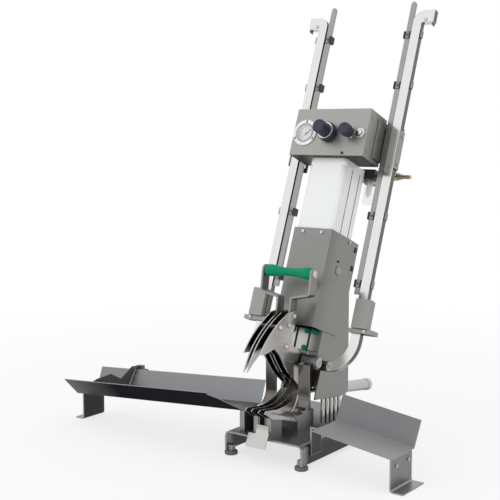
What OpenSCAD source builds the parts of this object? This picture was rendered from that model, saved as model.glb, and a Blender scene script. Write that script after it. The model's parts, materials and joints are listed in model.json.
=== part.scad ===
// Bench-top double clipper for sausage casings, sizes in millimetres.
// X runs to the operator's right, Y to the back and Z up. The bench is Z = 0.

/* [Column] */
// Lean of the column from upright, in degrees
lean = 20.8; // [15:0.1:25]
// Distance of the cover's lower front edge behind the front feet
column_y = 107.3; // [100:0.1:115]
// Height of the cover's lower front edge above the bench
column_z = 292.8; // [285:0.1:300]
// Width of the square cylinder tube
tube_w = 98; // [94:1:100]
// Bore of the cylinder
bore_d = 80; // [60:1:84]
// Height of the cylinder tube between its end caps
tube_len = 250; // [230:1:290]
// Height of the sheet cover
cover_h = 228; // [200:1:235]
// Depth of the sheet cover's sides
cover_depth = 110; // [100:1:120]
// Downward stroke of the punches
punch_stroke = 65; // [40:1:65]

/* [Control box] */
// Width of the control box
box_w = 200; // [176:1:224]
// Height of the control box
box_h = 115; // [105:1:125]
// Depth of the control box
box_depth = 80; // [70:1:85]
// Diameter of the gauge flange
gauge_d = 63; // [50:1:64]
// Diameter of the regulator knob's wide ring
regulator_d = 46; // [36:1:48]
// Diameter of the valve knob
valve_d = 30; // [24:1:32]
// Diameter of the push button
button_d = 15; // [10:0.5:16]

/* [Magazines] */
// Gap between the control box and each guide bar
bar_gap = 5; // [4:0.5:8]
// Width of a rail
rail_w = 23; // [20:0.5:24]
// Thickness of a rail from front to back
rail_t = 16; // [12:0.5:18]
// Height of the rails above the cover's lower edge
rail_top = 791; // [700:1:800]
// Height of the guide bars above the cover's lower edge
bar_top = 817; // [804:1:830]
// Width of a guide bar
bar_w = 13; // [10:0.5:14]
// Height of a clip weight
weight_h = 67; // [50:1:75]

/* [Lever] */
// Height of the lever's pivot above the bench
pivot_z = 211; // [210:0.5:212]
// Distance of the lever's pivot behind the front feet
pivot_y = 113; // [112:0.5:114]
// Diameter of the pivot shaft
shaft_d = 16; // [10:0.5:18]
// Height of the hand grip's axis above the bench
grip_z = 414; // [408:1:418]
// Distance of the hand grip's axis behind the front feet
grip_y = 91.5; // [88:0.5:94]
// Length of the hand grip
grip_len = 123; // [110:1:130]
// Diameter of the hand grip at its ends
grip_d = 27; // [24:0.5:30]
// Thickness of each gathering plate
plate_t = 3; // [2:0.1:3.2]

/* [Trays and base] */
// Width of the base plate
base_w = 208; // [200:1:220]
// Depth of the base plate
base_depth = 332; // [310:1:350]
// Height of the base plate's top above the bench
base_top = 56; // [50:1:60]
// Thickness of the base plate's sheet
base_t = 4; // [3:0.5:5]
// Diameter of a levelling foot
foot_d = 30; // [24:1:32]
// Length of the infeed tray
infeed_len = 525; // [480:1:600]
// Slope of the infeed tray in degrees, rising to the machine
infeed_slope = 4.4; // [3:0.1:4.6]
// Length of the outfeed tray
outfeed_len = 194; // [180:1:260]
// Slope of the outfeed tray in degrees, falling from the machine
outfeed_slope = 7.8; // [5:0.1:9]
// Thickness of the tray sheet
tray_t = 2; // [1.5:0.1:2.5]

/* [Hidden] */
$fn = 48;

// Clearances: a running shaft, a sliding face, a seat, and a loose hole
run_gap = 0.05;
slide_gap = 0.4;
seat_gap = 0.1;
hole_gap = 0.3;

// Punches and their guide
punch_x = 17;
punch_t = 5;
punch_w = 18;
punch_d = 65;
punch_tip = -62;
guide_top = 2;
guide_d = [50, 80];
guide_cover_t = 3;
crosshead_u = guide_top + 3 + punch_stroke;
crosshead_h = 25;
die_u = -140;

// Column, in its own frame: x across, d back from the cover's face, u up the lean
sheet_t = 2;
cover_half = tube_w / 2 + seat_gap + sheet_t + 0.2;
tube_front = 3.5;
tube_back = tube_front + tube_w;
tube_mid = (tube_front + tube_back) / 2;
tube_corner = 10;
groove_w = 4;
groove_depth = 2.5;
groove_at = [38, 73];
cap_t = 16;
cap_u = crosshead_u + crosshead_h + 23;
tube_u = cap_u + cap_t;
tube_end = tube_u + tube_len;
box_u = tube_end + cap_t;
piston_h = 30;
piston_u = tube_end - piston_h - 14;
rod_r = 10;

// Frame plates under the cover
frame_t = 4;
frame_out = cover_half - sheet_t;
frame_in = frame_out - frame_t;
frame_bottom = 105;
frame_back = 270;
frame_nose = 125;
nose_rise = 15;
frame_d_back = 132;
pillar_r = 5;
pillar_y = [160 : 18 : 232];

// Control panel, places measured on the box's front face
box_front = -15;
box_back = box_front + box_depth;
wall = 2;
panel_u = box_u + 55;
gauge_x = -0.335 * box_w;
regulator_x = -0.01 * box_w;
valve_x = 0.28 * box_w;
button_x = 0.42 * box_w;
dial_r = gauge_d / 2 - 11.3;
case_r = dial_r + 2;
stem_r = 8;
spindle_bore = 3;

// Air filter and inlet behind the cylinder
filter_x = 55;
filter_d = tube_back + 18;
filter_u = tube_end - 1;
inlet_x = 72;

// Magazines
bar_x = box_w / 2 + bar_gap;
rail_in = bar_x + bar_w + 2.5;
rail_out = rail_in + rail_w;
rail_d = 57;
rail_back = rail_d + rail_t;
bend_x = 66;
bend_in = rail_in - bend_x;
bend_out = rail_out - bend_x;
bend_u = punch_tip - 3.5 + bend_in;
rail_end = 30;
neck_end = rail_out + 30;
neck_h = 31;
bar_d = 60;
bar_t = 6;
bar_low = 95;
clamp_u = [731, 603, 281, 120];
clamp_h = 18;
stop_u = bend_u + 17;
stop_h = 10;
weight_u = stop_u + stop_h + 0.2;
weight_out = rail_out + 17;
weight_front = rail_d - 14;
weight_wall = 5;
tab_w = 5;
bracket_h = 92;
bracket_u = box_u - 4;

// Lever
eye_r = 18;
hub_r = 13;
hub_half = 25.6;
boss_r = 15;
boss_half = 64;
boss_in = hub_half + 0.3;
plate_outer_x = 20;
plate_inner_x = 3;
fork_t = 5;
fork_w = 26;
fork_lean = 9;
fork_x = grip_len / 2 + 0.4;
stem_x = plate_outer_x - 0.1 - fork_t / 2;
spindle_r = 4;
bolt_r = 3;
plate_bolt_at = [[78, 318], [58, 300], [24, 300], [46, 254]];

// Lower head
fixed_x = [8.5, 24.5];
fixed_t = [2, 3];
slot_z = 75;
jaw_front = -12;
guide_x = 30;
guide_w = 29.5;
guide_t = 3;

// Knife, in its own frame along the small rear cylinder
knife_tilt = 8;
knife_y = 268;
rear_face = knife_y - 2;
knife_z = 111;
knife_r = 15;
knife_rod_r = 5;
knife_bore_r = 11;

// Base and trays
base_front = -12;
base_back = base_front + base_depth;
flange_z = 10;
foot_h = flange_z - seat_gap;
foot_y = [0, base_back - 14];
stud_r = 4;
stud_h = 12;
foot_boss = 7;
foot_x = base_w / 2 - base_t - stud_r - 2 * hole_gap;
base_bend = 10;
leg_t = 3;
leg_flange = 27;
leg_inset = 15.5;
infeed_x = -60;
infeed_z = 108;
infeed_leg_x = infeed_x - (infeed_len - leg_inset) * cos(infeed_slope);
outfeed_x = 130;
outfeed_z = 95.5;
outfeed_leg_x = outfeed_x + (outfeed_len - leg_t) * cos(outfeed_slope);
infeed_rear = [67, 90];
infeed_rise = [43, 50];
stop_x = 125 - infeed_len;
stop_t = 4;
stop_turn = 24;
stop_back = infeed_rear[1] + 14;
stop_block = 11;
stop_knob_z = 36;
stop_screw_r = 3;

// Whole size, used to set the origin under the middle of the machine
function wy(d, u) = column_y + d * cos(lean) + u * sin(lean);
function wz(d, u) = column_z - d * sin(lean) + u * cos(lean);
// Height of the frame plates' lower edge, which rises from the back corner to the nose
function plate_edge(y) = frame_bottom + nose_rise * (frame_back - 12 - y) / (frame_back - 12 - frame_nose);
plate_tip = [-75, 215];
x_low = infeed_leg_x - leg_flange;
x_high = outfeed_leg_x + leg_flange + leg_t;
y_high = wy(bar_d + bar_t, bar_top);
shift = [-(x_low + x_high) / 2, -(plate_tip[0] + y_high) / 2, 0];

// Points on an arc, and on a curve with one control point
function arc(c, r, a, b, n = 10) =
    [for (i = [0 : n]) let (t = a + (b - a) * i / n) c + r * [cos(t), sin(t)]];
function bend(p, q, s, n = 12) =
    [for (i = [0 : n]) let (t = i / n) (1 - t) ^ 2 * p + 2 * t * (1 - t) * q + t ^ 2 * s];

module placed() { translate(shift) children(); }
module column() { translate([0, column_y, column_z]) rotate([-lean, 0, 0]) children(); }
module pair() {
    children();
    mirror([1, 0, 0]) children();
}
module box(a, b) { translate(a) cube(b - a); }
module along_x(p, h, r) { translate(p) rotate([0, 90, 0]) cylinder(h = h, r = r); }
module along_d(p, h, r) { translate(p) rotate([-90, 0, 0]) cylinder(h = h, r = r); }
// An outline in the YZ plane made w thick along X
module yz(x, w) { translate([x, 0, 0]) rotate([90, 0, 90]) linear_extrude(w) children(); }
// An outline in the XZ plane made w thick along Y
module xz(y, w) { translate([0, y + w, 0]) rotate([90, 0, 0]) linear_extrude(w) children(); }
// A bent strip of sheet, t thick, whose middle line runs along a row of points
function across(p, q) = [p[1] - q[1], q[0] - p[0]] / norm(q - p);
function beside(row, i, h) =
    let (last = len(row) - 1)
    let (a = across(row[max(i, 1) - 1], row[max(i, 1)]))
    let (b = across(row[min(i, last - 1)], row[min(i, last - 1) + 1]))
    row[i] + h * (a + b) / (1 + a * b);
module strip(row, t) {
    last = len(row) - 1;
    left = [for (i = [0 : last]) beside(row, i, t / 2)];
    right = [for (i = [last : -1 : 0]) beside(row, i, -t / 2)];
    polygon(concat(left, right));
}
module rounded(w, h, r) {
    square([w - 2 * r, h], center = true);
    square([w, h - 2 * r], center = true);
    for (x = [-1, 1], y = [-1, 1]) translate([x * (w / 2 - r), y * (h / 2 - r)]) circle(r);
}

// Base and frame
module base_plate() {
    edge = base_w / 2 - base_t / 2;
    top = base_top - base_t / 2;
    side = concat([[edge, flange_z]], arc([edge - base_bend, top - base_bend], base_bend, 0, 90));
    other = [for (i = [len(side) - 1 : -1 : 0]) [-side[i][0], side[i][1]]];
    color("darkgray") placed() difference() {
        union() {
            xz(base_front, base_depth) strip(concat(side, other), base_t);
            pair() for (y = foot_y) box([foot_x - foot_boss, y - foot_boss, flange_z],
                [edge, y + foot_boss, flange_z + stud_h]);
        }
        pair() for (y = foot_y) translate([foot_x, y, 0])
            cylinder(h = base_top / 2, r = stud_r + hole_gap);
    }
}
module levelling_feet() {
    foot_r = foot_d / 2;
    top = foot_h + stud_h;
    color("dimgray") placed() pair() for (y = foot_y) translate([foot_x, y, 0])
        rotate_extrude() polygon([[0, 0], [foot_r - 1, 0], [foot_r, 1], [foot_r, foot_h - 3],
            [foot_r - 2, foot_h - 1], [foot_r - 5, foot_h], [stud_r, foot_h], [stud_r, top], [0, top]]);
}
module side_plates() {
    behind = tube_back + 1;
    outline = [[wy(frame_d_back, cover_h), wz(frame_d_back, cover_h)],
        [frame_back, wz(frame_d_back, (frame_back - wy(frame_d_back, 0)) / sin(lean))],
        [frame_back, frame_bottom + 12], [frame_back - 12, frame_bottom],
        [frame_nose, plate_edge(frame_nose)], [wy(76, -135), wz(76, -135)],
        [wy(76, punch_tip), wz(76, punch_tip)],
        [wy(guide_d[0], punch_tip), wz(guide_d[0], punch_tip)], [wy(guide_d[0], 1), wz(guide_d[0], 1)],
        [wy(5, 1), wz(5, 1)], [wy(5, cap_u), wz(5, cap_u)],
        [wy(behind, cap_u), wz(behind, cap_u)], [wy(behind, cover_h), wz(behind, cover_h)]];
    color("darkgray") placed() pair() yz(frame_in, frame_t) polygon(outline);
}
module support_pillars() {
    reach = 2 * pillar_r;
    top = frame_bottom + nose_rise;
    color("silver") placed() pair() for (y = pillar_y) difference() {
        translate([frame_in + frame_t / 2, y, base_top]) cylinder(h = top - base_top, r = pillar_r);
        yz(frame_in - reach, frame_t + 2 * reach) polygon([[y - reach, plate_edge(y - reach)],
            [y + reach, plate_edge(y + reach)], [y + reach, top + 1], [y - reach, top + 1]]);
    }
}
module rear_plate() {
    thick = 4;
    top = 330;
    color("gray") placed() difference() {
        box([-frame_in, rear_face - thick, frame_bottom], [frame_in, rear_face, top]);
        knife_frame() along_d([0, -30, 0], 60, knife_rod_r + 3);
    }
}

// Air cylinder
module cylinder_caps() {
    color("gainsboro") placed() column() {
        translate([0, tube_mid, cap_u]) difference() {
            linear_extrude(cap_t) rounded(tube_w, tube_w, tube_corner);
            translate([0, 0, -1]) cylinder(h = cap_t + 2, r = rod_r + run_gap);
        }
        translate([0, tube_mid, tube_end]) linear_extrude(cap_t) rounded(tube_w, tube_w, tube_corner);
    }
}
module cylinder_barrel() {
    half = tube_w / 2;
    color("gainsboro") placed() column() translate([0, tube_mid, tube_u]) difference() {
        linear_extrude(tube_len) difference() {
            rounded(tube_w, tube_w, tube_corner);
            for (s = [-1, 1], g = groove_at) {
                translate([s * half, g - half]) square([2 * groove_depth, groove_w], center = true);
                translate([g - half, half]) square([groove_w, 2 * groove_depth], center = true);
            }
        }
        translate([0, 0, -1]) cylinder(h = tube_len + 2, r = bore_d / 2);
    }
}
module piston() {
    bore_r = bore_d / 2;
    color("silver") placed() column() translate([0, tube_mid, piston_u]) difference() {
        cylinder(h = piston_h, r = bore_r - run_gap);
        for (z = [6, piston_h - 10]) translate([0, 0, z]) difference() {
            cylinder(h = 4, r = bore_r + 1);
            translate([0, 0, -1]) cylinder(h = 6, r = bore_r - 3);
        }
        translate([0, 0, -1]) cylinder(h = piston_h / 2 + 1, r = rod_r);
    }
}
module piston_rod() {
    low = crosshead_u + crosshead_h;
    color("silver") placed() column() translate([0, tube_mid, low])
        cylinder(h = piston_u + piston_h / 2 - low, r = rod_r);
}
module punch_crosshead() {
    color("gray") placed() column()
        box([-30, tube_mid - rod_r - 2, crosshead_u], [30, guide_d[1] - 2, crosshead_u + crosshead_h]);
}
module punches() {
    color("silver") placed() column() pair()
        box([punch_x - punch_t / 2, punch_d - punch_w / 2, punch_tip],
            [punch_x + punch_t / 2, punch_d + punch_w / 2, crosshead_u]);
}
module punch_guide() {
    slot = punch_t / 2 + slide_gap;
    color("gray") placed() column() difference() {
        box([-frame_in, guide_d[0] + guide_cover_t, punch_tip + 1], [frame_in, guide_d[1], guide_top]);
        pair() box([punch_x - slot, guide_d[0], punch_tip],
            [punch_x + slot, punch_d + punch_w / 2 + slide_gap, guide_top + 1]);
    }
}
module punch_covers() {
    edge = punch_t / 2 + slide_gap;
    face = [guide_d[0], guide_d[0] + guide_cover_t];
    low = punch_tip + 14;
    color("lightgray") placed() column() {
        box([edge - punch_x, face[0], low], [punch_x - edge, face[1], guide_top]);
        pair() box([punch_x + edge, face[0], low], [frame_in, face[1], guide_top]);
    }
}
module grease_caps() {
    color("seagreen") placed() column()
        for (p = [[8, -4], [30, -5], [9, -43], [-30, -5]]) along_d([p[0], guide_d[0] - 4, p[1]], 4, 3.2);
}

// Sheet cover and its fittings
module front_cover() {
    color("darkgray") placed() column() difference() {
        box([-cover_half, 0, 0], [cover_half, cover_depth, cover_h]);
        box([-cover_half + sheet_t, sheet_t, -1], [cover_half - sheet_t, cover_depth + 1, cover_h + 1]);
    }
}
module cover_plugs() {
    plug_r = 12;
    color("gray") placed() column() {
        pair() along_x([cover_half, 62, 145], 1.5, plug_r);
        pair() along_x([cover_half, 53, 165], 3, 2.5);
        pair() for (u = [211, 166]) box([frame_out, 118, u - 6], [frame_out + 2, 128, u + 6]);
    }
}
module screw(h, r) {
    difference() {
        cylinder(h = h, r = r);
        translate([0, 0, h - 1]) cylinder(h = 2, r = r / 2, $fn = 6);
    }
}
module screw_d(p, r = 3.5) { translate(p) rotate([90, 0, 0]) screw(2.5, r); }
module screw_x(p, r = 3.5) { translate(p) rotate([0, 90, 0]) screw(2.5, r); }
module machine_screws() {
    gauge_ring = gauge_d / 2 - 3.5;
    color("silver") placed() {
        column() {
            for (x = [-25, 25]) screw_d([x, 0, cover_h - 9]);
            pair() screw_x([cover_half, 86, cover_h - 8]);
            pair() for (u = [18, box_h - 17]) screw_x([box_w / 2, 0, box_u + u], 2.5);
            for (a = [90, 210, 330])
                screw_d([gauge_x + gauge_ring * cos(a), box_front - 3, panel_u + gauge_ring * sin(a)], 2);
            screw_d([45, box_front, box_u + 6], 2.5);
            pair() screw_d([rail_out + 8, rail_d, rail_top - neck_h + 8], 5);
            pair() screw_d([weight_out - 4, weight_front + 6, stop_u + 5], 3);
            pair() for (u = [12, bracket_h - 12])
                screw_x([rail_out + slide_gap + 3, rail_d + 10, bracket_u + u], 3);
        }
        for (y = [8, 60]) {
            screw_x([outfeed_leg_x + leg_t / 2, y, 52], 3.5);
            mirror([1, 0, 0]) screw_x([-infeed_leg_x + leg_t / 2, y, 52], 3.5);
        }
    }
}

// Control box and panel
module control_box() {
    half = box_w / 2;
    color("darkgray") placed() column() difference() {
        box([-half, box_front, box_u], [half, box_back - wall, box_u + box_h]);
        box([-half + wall, box_front + wall, box_u + wall],
            [half - wall, box_back + 1, box_u + box_h - wall]);
        along_d([gauge_x, box_front - 1, panel_u], wall + 2, case_r + seat_gap);
        for (x = [regulator_x, valve_x, button_x])
            along_d([x, box_front - 1, panel_u], wall + 2, stem_r + seat_gap);
    }
}
module control_back() {
    half = box_w / 2;
    color("gray") placed() column()
        box([-half, box_back - wall, box_u], [half, box_back, box_u + box_h]);
}
module gauge_frame() { translate([gauge_x, box_front, panel_u]) rotate([-90, 0, 0]) children(); }
module gauge_bezel() {
    depth = 30;
    flange_t = 3;
    color("white") placed() column() gauge_frame() difference() {
        union() {
            translate([0, 0, -flange_t]) cylinder(h = flange_t, r = gauge_d / 2);
            cylinder(h = depth, r = case_r);
        }
        translate([0, 0, -flange_t - 1]) cylinder(h = flange_t + 7, r = dial_r + run_gap);
        translate([0, 0, -flange_t]) cylinder(h = depth, r = dial_r - 2);
    }
}
module gauge_dial() {
    color("white") placed() column() gauge_frame() {
        translate([0, 0, 5]) cylinder(h = 1, r = dial_r);
        translate([0, 0, 2]) cylinder(h = 3, r = 1);
    }
}
module gauge_needle() {
    color("black") placed() column() gauge_frame()
        translate([0, 0, 3]) difference() {
            union() {
                cylinder(h = 0.8, r = 2.5);
                rotate(-40) translate([-6, -0.6, 0]) cube([dial_r + 2, 1.2, 0.8]);
            }
            translate([0, 0, -1]) cylinder(h = 3, r = 1 + run_gap);
        }
}
module gauge_glass() {
    color("lightblue", 0.4) placed() column()
        along_d([gauge_x, box_front - 2.5, panel_u], 1.5, dial_r);
}
// A round panel fitting: ring on the panel's face and a stem through it
module panel_stem(x, ring_r, ring_t, bore) {
    translate([x, box_front, panel_u]) rotate([-90, 0, 0]) difference() {
        union() {
            translate([0, 0, -ring_t]) cylinder(h = ring_t, r = ring_r);
            cylinder(h = 24, r = stem_r);
        }
        translate([0, 0, -ring_t - 1]) cylinder(h = 20, r = bore);
    }
}
module regulator_body() {
    color("midnightblue") placed() column()
        panel_stem(regulator_x, regulator_d / 2 - 3, 4, spindle_bore + run_gap);
}
module panel_bushes() {
    color("silver") placed() column() {
        panel_stem(valve_x, valve_d / 2 - 2, 5, spindle_bore + run_gap);
        panel_stem(button_x, button_d / 2 + 3, 4, button_d / 2 + run_gap - 1.5);
    }
}
// A turning knob: a spindle in the panel and a stepped grip in front
module knob(x, seat, rings) {
    translate([x, box_front - seat, panel_u]) rotate([90, 0, 0]) {
        translate([0, 0, -16]) cylinder(h = 16.5, r = spindle_bore);
        rotate_extrude() polygon(concat([[0, 0.3]], rings));
    }
}
module regulator_knob() {
    wide = regulator_d / 2;
    cap = wide - 7;
    rings = [[wide - 1, 0.3], [wide, 1.3], [wide, 12], [wide - 1.5, 13.5], [cap, 13.5], [cap, 44],
        [cap - 2, 46], [0, 46]];
    color("midnightblue") placed() column() knob(regulator_x, 4, rings);
}
module valve_knob() {
    r = valve_d / 2;
    rings = [[r - 3, 0.3], [r - 3, 7], [r, 10], [r, 26], [r - 2, 28], [0, 28]];
    color("midnightblue") placed() column() knob(valve_x, 5, rings);
}
module push_button() {
    r = button_d / 2 - 1.5;
    color("silver") placed() column() translate([button_x, box_front, panel_u]) rotate([90, 0, 0])
        rotate_extrude() polygon([[0, -10], [r, -10], [r, 7.5], [r - 1, 8.5], [0, 8.5]]);
}

// Air supply behind the cylinder
module filter_head() {
    color("black") placed() column() difference() {
        box([20, tube_back, filter_u], [inlet_x, tube_back + 34, filter_u + 24]);
        along_x([inlet_x - 12, filter_d, filter_u + 13], 13, 5 + seat_gap);
    }
}
module filter_bowl() {
    side = [[0, 57], [0, 60], [9, 60], [14, 55], [14, 0], [11, 0], [11, 54], [8, 57]];
    color("lightblue", 0.5) placed() column() translate([filter_x, filter_d, filter_u])
        rotate([180, 0, 0]) rotate_extrude() polygon(side);
}
module air_inlet() {
    start = [inlet_x - 12, filter_d, filter_u + 13];
    color("goldenrod") placed() column() translate(start) rotate([0, 90, 0]) {
        cylinder(h = 52, r = 5);
        translate([0, 0, 50]) cylinder(h = 18, r = 10, $fn = 6);
        translate([0, 0, 68]) cylinder(h = 7, r = 7);
        translate([0, 0, 75]) cylinder(h = 24, r = 4.5);
    }
}

// Clip magazines
module rail_outline() {
    neck_r = 26;
    difference() {
        union() {
            translate([rail_in, bend_u]) square([rail_w, rail_top - neck_r - bend_u]);
            translate([rail_in + neck_r, rail_top - neck_r]) circle(neck_r);
            translate([rail_in + neck_r, rail_top - neck_h])
                square([neck_end - rail_in - neck_r, neck_h]);
        }
        translate([rail_out, rail_top - neck_r - 40]) square([neck_r, 40 + neck_r - neck_h]);
    }
    translate([bend_x, bend_u]) difference() {
        circle(bend_out, $fn = 96);
        circle(bend_in, $fn = 96);
        translate([-bend_out, 0]) square([2 * bend_out, bend_out]);
        translate([-bend_out, -bend_out]) square([bend_out, 2 * bend_out]);
    }
    translate([rail_end, bend_u - bend_out]) square([bend_x - rail_end, rail_w]);
}
module magazine_rails() { color("gainsboro") placed() column() pair() xz(rail_d, rail_t) rail_outline(); }
module guide_bars() {
    color("silver") placed() column() pair() xz(bar_d, bar_t) {
        translate([bar_x, bar_low]) square([bar_w, bar_top - bar_w / 2 - bar_low]);
        translate([bar_x + bar_w / 2, bar_top - bar_w / 2]) circle(bar_w / 2);
    }
}
module clamp_blocks() {
    back = bar_d + bar_t;
    color("black") placed() column() pair() for (u = clamp_u) difference() {
        box([bar_x - 4, bar_d - 2.5, u - clamp_h / 2], [rail_in, back + 8, u + clamp_h / 2]);
        box([bar_x - run_gap, bar_d - 3, u - clamp_h], [bar_x + bar_w + run_gap, back, u + clamp_h]);
    }
}
module rail_clips() {
    color("silver") placed() column() pair() for (u = clamp_u) {
        box([bar_x + 2, bar_d - 2.5, u - clamp_h / 2], [bar_x + bar_w - 2, bar_d, u + clamp_h / 2]);
        box([rail_out, rail_d + 3, u - clamp_h / 2], [rail_out + tab_w, rail_d + 11, u + clamp_h / 2]);
    }
}
module magazine_brackets() {
    plate = 3;
    strip_in = rail_out + slide_gap;
    color("gray") placed() column() pair() {
        difference() {
            box([box_w / 2, rail_back, bracket_u - 12],
                [strip_in, rail_back + plate, bracket_u + bracket_h + 10]);
            for (x = [box_w / 2 + 8, box_w / 2 + 18])
                box([x, rail_back - 1, bracket_u], [x + 4, rail_back + plate + 1, bracket_u + bracket_h]);
        }
        box([strip_in, rail_d - 2, bracket_u],
            [strip_in + plate, rail_back + plate, bracket_u + bracket_h]);
        box([box_w / 2, box_back - 40, box_u + 10],
            [box_w / 2 + plate, rail_back + plate, box_u + box_h - 10]);
    }
}
module rail_stops() {
    color("gray") placed() column() pair() difference() {
        box([rail_in - 5, weight_front + 6, stop_u], [weight_out + 15, rail_back + 6, stop_u + stop_h]);
        box([rail_in - seat_gap, rail_d - seat_gap, stop_u - 1],
            [rail_out + seat_gap, rail_back + seat_gap, stop_u + stop_h + 1]);
    }
}
module clip_weight() {
    back = rail_back + slide_gap;
    color("darkgray") difference() {
        box([rail_in + 3, weight_front, weight_u], [weight_out, back + weight_wall, weight_u + weight_h]);
        box([rail_in - 1, rail_d - slide_gap, weight_u - 1],
            [rail_out + slide_gap, back, weight_u + weight_h + 1]);
        box([rail_out, rail_d + 2, weight_u - 1],
            [rail_out + tab_w + 1, rail_d + 12, weight_u + weight_h + 1]);
        box([rail_out + tab_w + 6, rail_d + 3, weight_u - 1],
            [weight_out + 1, back + weight_wall + 1, weight_u + weight_h + 1]);
    }
}
module clip_weight_left() { placed() column() mirror([1, 0, 0]) clip_weight(); }
module clip_weight_right() { placed() column() clip_weight(); }

// Hand lever with its gathering plates
module pivot_bosses() {
    color("dimgray") placed() pair() translate([boss_in, pivot_y, pivot_z]) difference() {
        union() {
            along_x([0, 0, 0], boss_half - boss_in, boss_r);
            translate([frame_in - boss_in, 0, -boss_r + 4])
                cube([frame_t, wy(guide_d[0], punch_tip) - pivot_y, 8]);
        }
        along_x([-1, 0, 0], boss_half, shaft_d / 2 + run_gap);
    }
}
module pivot_shaft() {
    head = 3;
    slot_w = 2.4;
    color("silver") placed() translate([0, pivot_y, pivot_z]) difference() {
        union() {
            along_x([-boss_half, 0, 0], 2 * boss_half, shaft_d / 2);
            pair() along_x([boss_half, 0, 0], head, boss_r - 3);
        }
        pair() translate([boss_half + head, 0, 0]) cube([head, 2 * boss_r, slot_w], center = true);
    }
}
module lever_hub() {
    inner = plate_inner_x + plate_t;
    outer = plate_outer_x + plate_t;
    color("dimgray") placed() difference() {
        union() {
            along_x([-plate_inner_x, pivot_y, pivot_z], 2 * plate_inner_x, hub_r);
            pair() along_x([inner, pivot_y, pivot_z], plate_outer_x - inner, hub_r);
            pair() along_x([outer, pivot_y, pivot_z], hub_half - outer, hub_r);
        }
        along_x([-hub_half - 1, pivot_y, pivot_z], 2 * hub_half + 2, shaft_d / 2 + run_gap);
    }
}
// Side outline of a gathering plate: front curve, lower edge, throat and eye
module plate_outline(front, lower) {
    throat = [[40, 212], [56, 192], [74, 176], [96, 158], [112, 172], [pivot_y + eye_r, pivot_z]];
    heel = [[pivot_y, pivot_z + eye_r], [68, 254], [71, 276], [81, 295], [85, 308], [82, 330]];
    difference() {
        union() {
            polygon(concat(front, lower, throat, heel));
            translate([pivot_y, pivot_z]) circle(eye_r);
        }
        translate([pivot_y, pivot_z]) circle(shaft_d / 2 + run_gap);
        for (p = plate_bolt_at) translate(p) circle(bolt_r + seat_gap);
    }
}
module gathering_plates() {
    top = [53, 328];
    color("silver") placed() pair() {
        yz(plate_outer_x, plate_t)
            plate_outline(bend(top, [-20, 296], [-52, 252]), [[-31, 250], [2, 256], [23, 237]]);
        yz(plate_inner_x, plate_t)
            plate_outline(bend(top, [-46, 288], plate_tip), [[-55, 231], [-31, 246], [2, 256], [23, 237]]);
    }
}
module plate_bolts() {
    head = 3;
    inner = plate_inner_x + plate_t;
    outer = plate_outer_x + plate_t;
    color("silver") placed() for (i = [0 : len(plate_bolt_at) - 1]) {
        p = plate_bolt_at[i];
        at = [0, p[0], p[1]];
        along_x([-outer, 0, 0] + at, 2 * outer, bolt_r);
        pair() along_x([outer, 0, 0] + at, head, bolt_r + 2.5);
        end = i < 2 ? stem_x - fork_t / 2 : plate_outer_x;
        pair() along_x([inner, 0, 0] + at, end - inner, bolt_r + 2.5);
        along_x([-plate_inner_x, 0, 0] + at, 2 * plate_inner_x, bolt_r + 2.5);
    }
}
module fork_frame() { translate([0, grip_y, grip_z]) rotate([-fork_lean, 0, 0]) children(); }
module lever_fork() {
    drop = 45;
    shoulder = 57;
    stem = 118;
    arm = fork_x + fork_t / 2;
    path = [[arm, 0], [arm, -drop], [arm - 4, -drop - 3.5], [stem_x + 2, -shoulder],
        [stem_x, -shoulder - 3], [stem_x, -stem]];
    color("gray") placed() difference() {
        pair() fork_frame() difference() {
            union() {
                xz(-fork_w / 2, fork_w) strip(path, fork_t);
                along_x([fork_x, 0, 0], fork_t, fork_w / 2);
            }
            along_x([0, 0, 0], grip_len, spindle_r + seat_gap);
        }
        for (i = [0, 1])
            along_x([-grip_len, plate_bolt_at[i][0], plate_bolt_at[i][1]],
                2 * grip_len, bolt_r + seat_gap);
    }
}
module grip_spindle() {
    half = fork_x + fork_t;
    color("silver") placed() translate([0, grip_y, grip_z]) {
        along_x([-half, 0, 0], 2 * half, spindle_r);
        pair() along_x([half, 0, 0], 3, spindle_r + 4);
    }
}
module hand_grip() {
    half = grip_len / 2;
    end_r = grip_d / 2;
    waist = end_r - 4;
    bore = spindle_r + run_gap;
    side = concat([[bore, half], [end_r - 2, half], [end_r, half - 3]],
        bend([end_r, half - 18], [waist - 1, half / 3], [waist, 0]),
        bend([waist, 0], [waist - 1, -half / 3], [end_r, 18 - half]),
        [[end_r, 3 - half], [end_r - 2, -half], [bore, -half]]);
    color("seagreen") placed() translate([0, grip_y, grip_z]) rotate([0, 90, 0])
        rotate_extrude() polygon(side);
}

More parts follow.
